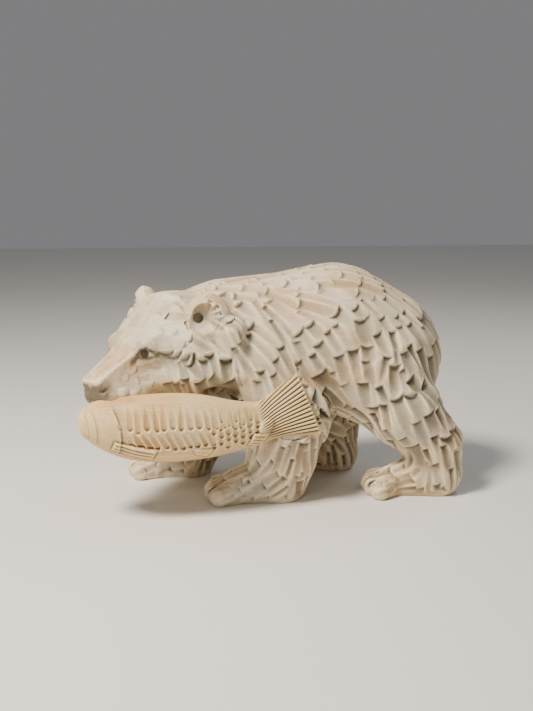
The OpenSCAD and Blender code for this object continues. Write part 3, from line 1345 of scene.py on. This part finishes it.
@dataclass
class Salmon:
    """The salmon: a separate carving, from its snout to its tail fan."""

    block: Block
    # one row per ring: x share, y share, z share, half depth mm, half thickness mm, lean degrees
    rings: tuple = (
        (-1.000, -0.715, 0.411, 2.5, 2.2, 0),
        (-0.985, -0.725, 0.410, 7.5, 7.0, 0),
        (-0.950, -0.740, 0.408, 12.8, 11.5, 0),
        (-0.880, -0.760, 0.400, 18.2, 15.0, 0),
        (-0.780, -0.775, 0.388, 22.3, 16.3, 0),
        (-0.630, -0.780, 0.383, 24.9, 16.6, 0),
        (-0.530, -0.780, 0.382, 25.2, 16.5, 0),
        (-0.430, -0.770, 0.381, 24.3, 15.6, 0),
        (-0.335, -0.755, 0.378, 22.3, 14.2, 2),
        (-0.240, -0.735, 0.377, 19.2, 12.0, 5),
        (-0.165, -0.715, 0.381, 17.0, 9.6, 10),
        (-0.085, -0.700, 0.390, 15.6, 7.2, 17),
        (-0.030, -0.690, 0.406, 17.0, 5.0, 19),
        (0.040, -0.684, 0.428, 20.5, 4.2, 20),
        (0.110, -0.680, 0.448, 24.2, 3.9, 21),
        (0.146, -0.678, 0.458, 26.0, 3.6, 22),
    )
    # pectoral, pelvic and anal fin: corners (mm from the snout, mm over the middle), rays, rise mm
    fins: tuple = (
        (((27, -7), (57, -13), (53, -21), (24, -14)), 3, 1.1),
        (((82, -13), (97, -13.5), (92, -20), (84, -18)), 2, 0.5),
        (((127, -6), (140, -8), (131, -18), (122, -14)), 4, 0.9),
    )
    ray_centre: tuple[float, float] = (-49.0, 51.0)
    ray_angle: float = 2.5
    around: int = 240
    along: int = 330

    def ring_at(self, x: Array) -> tuple[Array, ...]:
        """Gives the middle's y and z, the half depth and the half thickness at each x.

        Args:
            x: places along the block, mm.

        Returns:
            Four arrays, mm.
        """
        table = np.array(self.rings)
        place = x / self.block.half_length
        centre_y = np.interp(place, table[:, 0], table[:, 1]) * self.block.half_width
        centre_z = np.interp(place, table[:, 0], table[:, 2]) * self.block.height
        deep = np.interp(place, table[:, 0], table[:, 3], left=0.01, right=0.01)
        thick = np.interp(place, table[:, 0], table[:, 4], left=0.01, right=0.01)
        return centre_y, centre_z, deep, thick

    def seat(self) -> SalmonSeat:
        """Gives the hollow for the salmon in the bear."""
        return SalmonSeat(self)

    def smooth_rings(self, steps: Array) -> Array:
        """Runs a smooth curve through the rings' rows.

        Args:
            steps: places along the fish, 0 at the snout and 1 at the end of the fan.
        """
        table = np.array(self.rings)
        runs = np.diff(table[:, [0, 2]], axis=0) * RING_SCALE
        knots = np.r_[0, np.cumsum(np.hypot(*runs.T))]
        knots /= knots[-1]
        slopes = np.gradient(table, knots, axis=0)
        i = np.clip(np.searchsorted(knots, steps, side="right") - 1, 0, len(knots) - 2)
        h = (knots[i + 1] - knots[i])[:, None]
        t = ((steps - knots[i])[:, None]) / h
        a, b = table[i], table[i + 1]
        return (
            a * (1 + 2 * t) * (1 - t) ** 2
            + slopes[i] * h * t * (1 - t) ** 2
            + b * t * t * (3 - 2 * t)
            + slopes[i + 1] * h * t * t * (t - 1)
        )

    def skin(self) -> tuple[bpy.types.Mesh, Array, Array]:
        """Makes the plain fish: a ball drawn out along its rings.

        Returns:
            The mesh, and each point's step along the fish and turn around it.
        """
        work = bmesh.new()
        bmesh.ops.create_uvsphere(
            work, u_segments=self.around, v_segments=self.along, radius=1.0
        )
        work.verts.ensure_lookup_table()
        ball = np.array([v.co for v in work.verts])
        step = np.arccos(np.clip(-ball[:, 2], -1, 1)) / math.pi
        turn = np.arctan2(ball[:, 1], ball[:, 0])
        rows = self.smooth_rings(np.clip(step, 0, 1))
        end = np.minimum(1, np.minimum(step * self.along / 4, (1 - step) * self.along / 3))
        close = np.sqrt(np.clip(1 - (1 - end) ** 2, 0, 1))
        deep, thick = rows[:, 3] * close, rows[:, 4] * close
        lean = np.radians(rows[:, 5])
        up = np.sin(turn) * deep
        points = np.stack(
            [
                rows[:, 0] * self.block.half_length - up * np.sin(lean),
                rows[:, 1] * self.block.half_width + np.cos(turn) * thick,
                rows[:, 2] * self.block.height + up * np.cos(lean),
            ],
            axis=1,
        )
        mesh = bpy.data.meshes.new("salmon")
        bmesh.ops.recalc_face_normals(work, faces=work.faces)
        work.to_mesh(mesh)
        work.free()
        set_points(mesh, points)
        return mesh, step, turn

    def measure(self, points: Array, step: Array) -> tuple[Array, Array, Array]:
        """Gives where points lie on the fish.

        Args:
            points: the fish's points, mm.
            step: their places along its rings.

        Returns:
            The distance from the snout, the height over the middle line, and that height as a
            share of the half depth.
        """
        rows = self.smooth_rings(step)
        middle = rows[:, 2] * self.block.height
        lean = np.radians(rows[:, 5])
        height = (points[:, 2] - middle) / np.cos(lean)
        return points[:, 0] + self.block.half_length, height, height / np.maximum(rows[:, 3], 1)

    def gills(self, along: Array, share: Array) -> Array:
        """Gives the cut behind each edge of the gill covers: steps that face the tail.

        Args:
            along: distance of each point from the snout, mm.
            share: height over the middle line as a share of the half depth.
        """
        depth = np.zeros(len(along))
        for at, bulge, deep, width in ((3.5, 4, 0.45, 3), (9, 5, 0.6, 4), (24, 7, 1.1, 9)):
            behind = along - at - bulge * (1 - share**2) + 2.5 * share
            fade = np.clip(1 - behind / width, 0, 1) * np.clip(behind / 0.8, 0, 1)
            depth = np.maximum(depth, deep * fade * np.clip((0.86 - np.abs(share)) * 4, 0, 1))
        return depth

    def fin(
        self, along: Array, height: Array, corners: tuple, rays: int, rise: float
    ) -> tuple[Array, Array]:
        """Gives a fin's relief, a raised leaf with rays along it, and which points lie in it.

        Args:
            along: distance of each point from the snout, mm.
            height: height over the middle line, mm.
            corners: the root's upper corner, the tip's upper and lower ones, the root's lower one.
            rays: number of grooves.
            rise: how far the leaf stands out, mm.

        Returns:
            The relief's height at each point, mm, and whether the point is in the leaf.
        """
        c = np.array(corners, float)
        inside = np.full(len(along), 9.0)
        here = np.stack([along, height], axis=1)
        for i in range(4):
            edge = c[(i + 1) % 4] - c[i]
            inward = np.array([edge[1], -edge[0]]) / np.hypot(*edge)
            inside = np.minimum(inside, (here - c[i]) @ inward)
        run = (c[1] + c[2] - c[0] - c[3]) / 2
        cross = np.array([run[1], -run[0]]) / np.hypot(*run)
        width = (c[3] + c[2] - c[0] - c[1]) @ cross / 2
        across = (here - (c[0] + c[1]) / 2) @ cross / width
        groove = 0.5 + 0.5 * np.cos(2 * math.pi * across * rays)
        body = np.clip(inside / 1.2, 0, 1)
        line = 0.3 * np.clip(1 - np.abs(inside + 0.7) / 1.1, 0, 1)
        return body * rise * (1 - 0.6 * groove**3) - line, body > 0

    def tail_rays(self, points: Array, along: Array, share: Array) -> Array:
        """Gives the grooves that fan out over the tail.

        Args:
            points: the fish's points, mm.
            along: distance of each point from the snout, mm.
            share: height over the middle line as a share of the half depth.
        """
        centre_x, centre_z = self.ray_centre
        angle = np.degrees(np.arctan2(points[:, 2] - centre_z, points[:, 0] - centre_x))
        groove = 0.5 + 0.5 * np.cos(2 * math.pi * angle / self.ray_angle)
        start = np.clip((along - 133 + 4 * share) / 4, 0, 1)
        return start * groove**1.6

    def scales(
        self, points: Array, normals: Array, along: Array, share: Array
    ) -> tuple[Array, Array]:
        """Cuts the scales: tall scoops in two rows, then round dimples towards the tail.

        Args:
            points: the fish's points, mm.
            normals: its outward normals.
            along: distance of each point from the snout, mm.
            share: height over the middle line as a share of the half depth.

        Returns:
            Each point's depth and tone.
        """
        half = np.interp(along, [0, 30, 70, 110, 140], [12, 23, 25, 20, 15])
        places = []
        for at in np.arange(31, 126, 6.1):
            places.append((at, 0.47, 0.74, (-0.12, 0, 1), 5.9, 1.1))
        for at in np.arange(37, 96, 5.8):
            places.append((at, -0.22, 0.62, (-0.42, 0, 0.9), 5.4, 1.25))
        for k, at in enumerate(np.arange(97, 131, 5.4)):
            for row in range(4):
                level = -0.45 + 0.27 * row + 0.13 * (k % 2)
                places.append((at, level, 0.33, (-0.1, 0, 1), 5.4, 1.0))
        seats, ways, sizes = [], [], []
        for side in (LEFT, RIGHT):
            index = np.flatnonzero(normals[:, 1] * side > 0.25)
            for at, level, length, way, width, deep in places:
                far = (along[index] - at) ** 2 + ((share[index] - level) * half[index]) ** 2
                seats.append(index[far.argmin()])
                ways.append(way)
                sizes.append((half[seats[-1]] * length, width, deep, 0.9))
        seats = np.array(seats)
        ways = np.array(ways, float)
        ways = unit(ways - (ways * normals[seats]).sum(axis=1)[:, None] * normals[seats])
        gouge = Gouge(seed=5, wall=1.3, round_entry=0.9)
        return gouge.scoop(
            points, normals, 0.45, points[seats], normals[seats], ways, np.array(sizes)
        )

    def build(self) -> bpy.types.Object:
        """Makes the salmon with its scales, gills and fins."""
        mesh, step, turn = self.skin()
        piece = new_piece("salmon", mesh)
        points = mesh_points(mesh)
        normals = np.empty(len(points) * 3, np.float32)
        mesh.vertex_normals.foreach_get("vector", normals)
        normals = normals.reshape(-1, 3).astype(float)
        along, height, share = self.measure(points, step)
        depth, tone = self.scales(points, normals, along, share)
        depth *= np.clip((along - 26) / 6, 0, 1) * np.clip((136 - along) / 5, 0, 1)
        side = np.clip(np.abs(normals[:, 1]) * 3, 0, 1)
        leaves = np.zeros(len(points))
        for corners, count, rise in self.fins:
            leaf, inside = self.fin(along, height, corners, count, rise)
            leaves += leaf * side
            depth[inside] = 0
        rays = self.tail_rays(points, along, share) * side
        gills = self.gills(along, share) * side
        knob = np.hypot((along - 136) / 6.0, (height + 3) / 6.5)
        knob = 1.3 * np.clip((1 - knob) * 3, 0, 1) * side
        total = leaves + knob - np.maximum(depth, gills) - 1.0 * rays
        points = points + normals * total[:, None]
        set_points(mesh, points)
        # depth drives painted shade in the scale and gill cuts; ridge drives a painted highlight on
        # ridges and painted shade in hollows
        set_attribute(mesh, "depth", np.maximum(depth, gills))
        set_attribute(mesh, "tone", tone)
        set_attribute(mesh, "ridge", crest(mesh, points, normals) * 2)
        # painted shade in the tail's ray grooves, in the groove round each fin and behind the gill
        # covers
        lines = np.maximum(0.85 * rays**2, 0.5 * np.clip(-leaves * 2, 0, 1))
        set_attribute(mesh, "stain", np.clip(lines + 0.25 * gills, 0, 1))
        mesh.shade_smooth()
        mesh.set_sharp_from_angle(angle=math.radians(40))
        LOG.info("salmon: %d faces", len(mesh.polygons))
        return piece


# ------------------------------------------------------------------------------------------
# Materials
# ------------------------------------------------------------------------------------------


def linear(hex_colour: str) -> tuple[float, float, float, float]:
    """Turns an sRGB hex colour to linear.

    Args:
        hex_colour: the colour, as #RRGGBB.

    Returns:
        Red, green, blue and alpha, 0 to 1.
    """
    parts = [int(hex_colour[i : i + 2], 16) / 255 for i in (1, 3, 5)]
    curve = [p / 12.92 if p <= 0.04045 else ((p + 0.055) / 1.055) ** 2.4 for p in parts]
    return (*curve, 1.0)


def add_node(tree: bpy.types.NodeTree, kind: str, settings: dict, links: dict) -> bpy.types.Node:
    """Adds a node.

    Args:
        tree: the material's node tree.
        kind: the node's type.
        settings: properties by name, and values of input sockets by name or number.
        links: output sockets by the name or number of the input socket that they go to.
    """
    node = tree.nodes.new(kind)
    for name, value in settings.items():
        if isinstance(name, str) and hasattr(node, name):
            setattr(node, name, value)
        else:
            node.inputs[name].default_value = value
    for name, source in links.items():
        tree.links.new(source, node.inputs[name])
    return node


def fresh_material(name: str) -> tuple[bpy.types.Material, bpy.types.NodeTree, bpy.types.Node]:
    """Makes a material and gives it with its tree and its shader.

    Returns:
        The material, its node tree and its shader node.
    """
    material = bpy.data.materials.new(name)
    material.use_nodes = True
    tree = material.node_tree
    return material, tree, tree.nodes["Principled BSDF"]


@dataclass(frozen=True)
class PlainPaint:
    """An even matt surface, which shows the eye nothing but its colour."""

    name: str
    colour: str
    roughness: float = 0.7

    def material(self) -> bpy.types.Material:
        """Makes the material."""
        material, _, shader = fresh_material(self.name)
        shader.inputs["Base Color"].default_value = linear(self.colour)
        shader.inputs["Roughness"].default_value = self.roughness
        return material


@dataclass(frozen=True)
class Layer:
    """A value that runs over the wood: a noise, or one that the carving itself holds.

    Attributes:
        pattern: the noise's size along each axis, mm, or the name of the carving's value.
        low: where the layer starts to show.
        high: where it shows in full.
        detail: the noise's finer octaves.
    """

    pattern: Point | str
    low: float
    high: float
    detail: float = 2.0

    def strength(
        self, tree: bpy.types.NodeTree, place: bpy.types.NodeSocket
    ) -> bpy.types.NodeSocket:
        """Adds the layer's nodes.

        Args:
            tree: the material's node tree.
            place: the point's place in the object.
        """
        if isinstance(self.pattern, str):
            kind = "ShaderNodeAttribute"
            source = add_node(tree, kind, {"attribute_name": self.pattern}, {})
        else:
            scale = tuple(1 / (METRES * size) for size in self.pattern)
            move = add_node(tree, "ShaderNodeMapping", {"Scale": scale}, {"Vector": place})
            settings = {"Scale": 1.0, "Detail": self.detail, "Roughness": 0.6}
            source = add_node(tree, "ShaderNodeTexNoise", settings, {"Vector": move.outputs[0]})
        ends = {"From Min": self.low, "From Max": self.high}
        links = {"Value": source.outputs["Fac"]}
        return add_node(tree, "ShaderNodeMapRange", ends, links).outputs["Result"]


@dataclass(frozen=True)
class CarvedWood:
    """Hand-carved wood left from the tool and waxed thinly.

    The eye gets: long fine grain along the block, broad warm and grey clouds, every gouge stroke a
    little lighter or darker than the next, a painted highlight, pale and warm, on the crests, grey
    painted shade in the troughs and deep cuts, and darker painted shade in the deepest lines.

    Attributes:
        name: the material's name.
        face: colour of the cut surface.
        warm: colour of the warm clouds.
        crest: colour of the painted highlight on the ridges.
        trough: colour of the grain lines and the darker strokes, and of the painted shade in cuts
            and hollows.
        dark: colour of the pores and the nose's stain, and of the painted shade in the deepest
            lines, holes and grooves.
        grain: width of the grain's lines, mm.
        stroke_contrast: how much one stroke's tone differs from the next.
    """

    name: str
    face: str
    warm: str
    crest: str
    trough: str
    dark: str
    grain: float = 0.8
    stroke_contrast: float = 0.16

    def layers(self) -> tuple[tuple[Layer, str, float, str], ...]:
        """Gives the colours laid over the face, first to last.

        Returns:
            For each: where it shows, its colour, its most strength and how it mixes.
        """
        lighter, darker = self.stroke_contrast, self.stroke_contrast * 2
        return (
            (Layer((75, 34, 30), 0.46, 0.66), self.warm, 0.75, "MIX"),
            (self.grain_lines(), self.trough, 0.30, "MULTIPLY"),
            (Layer((120, 7, 7), 0.5, 0.72), self.warm, 0.30, "MIX"),
            (Layer("tone", 0.5, 1.0), "#FFFFFF", lighter, "MIX"),
            (Layer("tone", 0.5, 0.0), self.trough, darker, "MIX"),
            # painted shade: trough colour grows with the cut's depth; painted highlight: crest
            # colour on ridges; painted shade: trough and dark colours in hollows
            (Layer("depth", 0.8, 3.4), self.trough, 0.6, "MIX"),
            (Layer("ridge", 0.03, 0.45), self.crest, 0.85, "MIX"),
            (Layer("ridge", -0.05, -0.5), self.trough, 0.9, "MIX"),
            (Layer("ridge", -0.25, -0.9), self.dark, 0.6, "MIX"),
            # the nose's stain, and painted shade in holes, hollows and grooves
            (Layer("stain", 0.0, 1.0), self.dark, 0.85, "MIX"),
            (Layer((5.0, 0.28, 0.28), 0.66, 0.74, 1.0), self.dark, 0.22, "MIX"),
        )

    def grain_lines(self) -> Layer:
        """Gives the long lines of the grain."""
        return Layer((34, self.grain, self.grain), 0.42, 0.72, 3.0)

    def material(self) -> bpy.types.Material:
        """Makes the material."""
        material, tree, shader = fresh_material(self.name)
        place = add_node(tree, "ShaderNodeTexCoord", {}, {}).outputs["Object"]
        colour = add_node(tree, "ShaderNodeRGB", {}, {}).outputs[0]
        colour.default_value = linear(self.face)
        for layer, over, most, blend in self.layers():
            share = layer.strength(tree, place)
            limit = add_node(tree, "ShaderNodeMath", {"operation": "MULTIPLY", 1: most}, {0: share})
            settings = {"data_type": "RGBA", "blend_type": blend, 7: linear(over)}
            links = {0: limit.outputs[0], 6: colour}
            colour = add_node(tree, "ShaderNodeMix", settings, links).outputs[2]
        tree.links.new(colour, shader.inputs["Base Color"])
        grain = self.grain_lines().strength(tree, place)
        gloss = add_node(
            tree, "ShaderNodeMapRange", {"To Min": 0.5, "To Max": 0.72}, {"Value": grain}
        )
        tree.links.new(gloss.outputs["Result"], shader.inputs["Roughness"])
        shader.inputs["Specular IOR Level"].default_value = 0.35
        chatter = Layer((2.2, 2.2, 2.2), 0.3, 0.7).strength(tree, place)
        links = {"Height": grain}
        for strength, height in ((0.5, 0.12), (0.4, 0.18)):
            settings = {"Strength": strength, "Distance": height * METRES}
            bump = add_node(tree, "ShaderNodeBump", settings, links)
            links = {"Height": chatter, "Normal": bump.outputs[0]}
        tree.links.new(bump.outputs[0], shader.inputs["Normal"])
        return material


@dataclass(frozen=True)
class PolishedBead:
    """Polished glass of a brown so deep that it reads as black, faintly clouded inside."""

    name: str
    colour: str
    depth_colour: str
    cloud_size: float = 2.5

    def material(self) -> bpy.types.Material:
        """Makes the material."""
        material, tree, shader = fresh_material(self.name)
        place = add_node(tree, "ShaderNodeTexCoord", {}, {}).outputs["Object"]
        cloud = add_node(
            tree,
            "ShaderNodeTexNoise",
            {"Scale": 1 / (self.cloud_size * METRES), "Detail": 1.0},
            {"Vector": place},
        )
        blend = add_node(
            tree,
            "ShaderNodeMix",
            {"data_type": "RGBA", 6: linear(self.colour), 7: linear(self.depth_colour)},
            {0: cloud.outputs["Fac"]},
        )
        tree.links.new(blend.outputs[2], shader.inputs["Base Color"])
        shader.inputs["Roughness"].default_value = 0.12
        shader.inputs["IOR"].default_value = 1.5
        return material


@dataclass(frozen=True)
class DrawnWire:
    """Brass wire, its gloss broken finely all over, as the drawing die leaves it."""

    name: str
    colour: str
    line_width: float = 0.3

    def material(self) -> bpy.types.Material:
        """Makes the material."""
        material, tree, shader = fresh_material(self.name)
        place = add_node(tree, "ShaderNodeTexCoord", {}, {}).outputs["Object"]
        lines = add_node(
            tree,
            "ShaderNodeTexNoise",
            {"Scale": 1 / (self.line_width * METRES), "Detail": 2.0},
            {"Vector": place},
        )
        gloss = add_node(
            tree,
            "ShaderNodeMapRange",
            {"To Min": 0.22, "To Max": 0.42},
            {"Value": lines.outputs["Fac"]},
        )
        tree.links.new(gloss.outputs["Result"], shader.inputs["Roughness"])
        shader.inputs["Base Color"].default_value = linear(self.colour)
        shader.inputs["Metallic"].default_value = 1.0
        return material


# ------------------------------------------------------------------------------------------
# Studio
# ------------------------------------------------------------------------------------------


@dataclass(frozen=True)
class Studio:
    """The pale floor, the soft lights and the camera."""

    camera_place: Point = (-0.0896, -0.691, 0.239)
    camera_pitch: float = -10.57
    camera_yaw: float = -7.0
    focal_length: float = 45.57
    floor_size: float = 3.0
    surround: float = 0.24

    def floor(self) -> None:
        """Makes the floor, which isn't part of the object."""
        work = bmesh.new()
        bmesh.ops.create_grid(work, x_segments=2, y_segments=2, size=self.floor_size)
        mesh = bpy.data.meshes.new("floor")
        work.to_mesh(mesh)
        work.free()
        floor = new_piece("floor", mesh)
        floor.data.materials.append(PlainPaint("pale_floor", "#E6E3DD").material())
        floor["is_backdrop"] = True

    def light(self, name: str, place: Point, size: float, power: float, colour: str) -> None:
        """Adds a square soft light that looks at the figure's middle.

        Args:
            name: the lamp's name.
            place: where it hangs, m.
            size: its side, m.
            power: its power, W.
            colour: its colour, as sRGB hex.
        """
        data = bpy.data.lights.new(name, "AREA")
        data.shape = "SQUARE"
        data.size = size
        data.energy = power
        data.color = linear(colour)[:3]
        lamp = bpy.data.objects.new(name, data)
        lamp.location = place
        target = Vector((0, 0, 0.09))
        lamp.rotation_euler = (target - lamp.location).to_track_quat("-Z", "Y").to_euler()
        bpy.context.scene.collection.objects.link(lamp)

    def lights(self) -> None:
        """Adds a key over the left shoulder, two faint fills and an even, dim surround."""
        self.light("key", (-0.50, -0.35, 0.90), 0.24, 20.0, "#FFF4E6")
        self.light("rim", (0.7, 0.5, 0.9), 0.5, 2.5, "#FFFFFF")
        self.light("eye_spark", (-0.34, -0.62, 0.42), 0.06, 0.5, "#FFFFFF")
        world = bpy.data.worlds.new("studio")
        world.use_nodes = True
        background = world.node_tree.nodes["Background"]
        background.inputs["Color"].default_value = linear("#F2F2F5")
        background.inputs["Strength"].default_value = self.surround
        bpy.context.scene.world = world

    def camera(self) -> None:
        """Sets up the camera, a little over the figure's back and left of its middle."""
        data = bpy.data.cameras.new("camera")
        data.lens = self.focal_length
        data.sensor_width = 36.0
        camera = bpy.data.objects.new("camera", data)
        camera.location = self.camera_place
        camera.rotation_euler = (
            math.radians(90 + self.camera_pitch),
            0.0,
            math.radians(self.camera_yaw),
        )
        bpy.context.scene.collection.objects.link(camera)
        bpy.context.scene.camera = camera

    def build(self) -> None:
        """Makes the whole studio."""
        self.floor()
        self.lights()
        self.camera()


# crest paints a highlight on ridges; trough and dark also paint shade in cuts, hollows and holes
BEAR_WOOD = CarvedWood(
    name="bear_limewood",
    face="#D6CAAD",
    warm="#CBA377",
    crest="#EFDDB8",
    trough="#6A6450",
    dark="#2E1F12",
)
# crest paints a highlight on ridges; trough and dark also paint shade in the scale cuts, gill cuts
# and ray grooves
SALMON_WOOD = CarvedWood(
    name="salmon_limewood",
    face="#E2C691",
    warm="#C69357",
    crest="#F6E0AC",
    trough="#85602F",
    dark="#45260D",
    stroke_contrast=0.10,
)


@dataclass(frozen=True)
class PackedParts:
    """Small parts that are shown in the shape that they were packed in, all of one material.

    Attributes:
        nodes: the parts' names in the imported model.
        finish: what they are made of.
    """

    nodes: tuple[str, ...]
    finish: CarvedWood | PolishedBead | DrawnWire

    def dress(self) -> None:
        """Gives the parts their material."""
        material = self.finish.material()
        for piece in bpy.data.objects:
            if piece.type == "MESH" and any(node in piece.name for node in self.nodes):
                piece.data.materials.clear()
                piece.data.materials.append(material)
                LOG.info("%s: %s", piece.name, material.name)


EYE_BEADS = PackedParts(
    ("left_eye_bead", "right_eye_bead"), PolishedBead("eye_glass", "#0B0806", "#1A130D")
)
EYE_STEMS = PackedParts(("left_eye_stem", "right_eye_stem"), DrawnWire("eye_wire", "#C8A35A"))
DOWELS = PackedParts(
    ("jaw_dowel", "shoulder_dowel"),
    CarvedWood(
        name="dowel_beech",
        face="#D8BF96",
        warm="#C9A777",
        crest="#E4CDA6",
        trough="#A98B60",
        dark="#5B4327",
        grain=0.5,
        stroke_contrast=0.0,
    ),
)


def main() -> None:
    """Builds the figure and the studio."""
    logging.basicConfig(level=logging.INFO, format="%(message)s")
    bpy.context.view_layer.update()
    block = Block.from_frame()
    salmon = Salmon(block)
    bear = BearCarving(block, salmon)
    for carving, node, slot, wood in (
        (bear, "bear_carving", "bear_wood", BEAR_WOOD),
        (salmon, "salmon", "salmon_wood", SALMON_WOOD),
    ):
        piece = carving.build()
        piece.data.materials.append(wood.material())
        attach(piece, "root")
        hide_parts(node)
    for parts in (EYE_BEADS, EYE_STEMS, DOWELS):
        parts.dress()
    Studio().build()


if __name__ == "__main__":
    main()
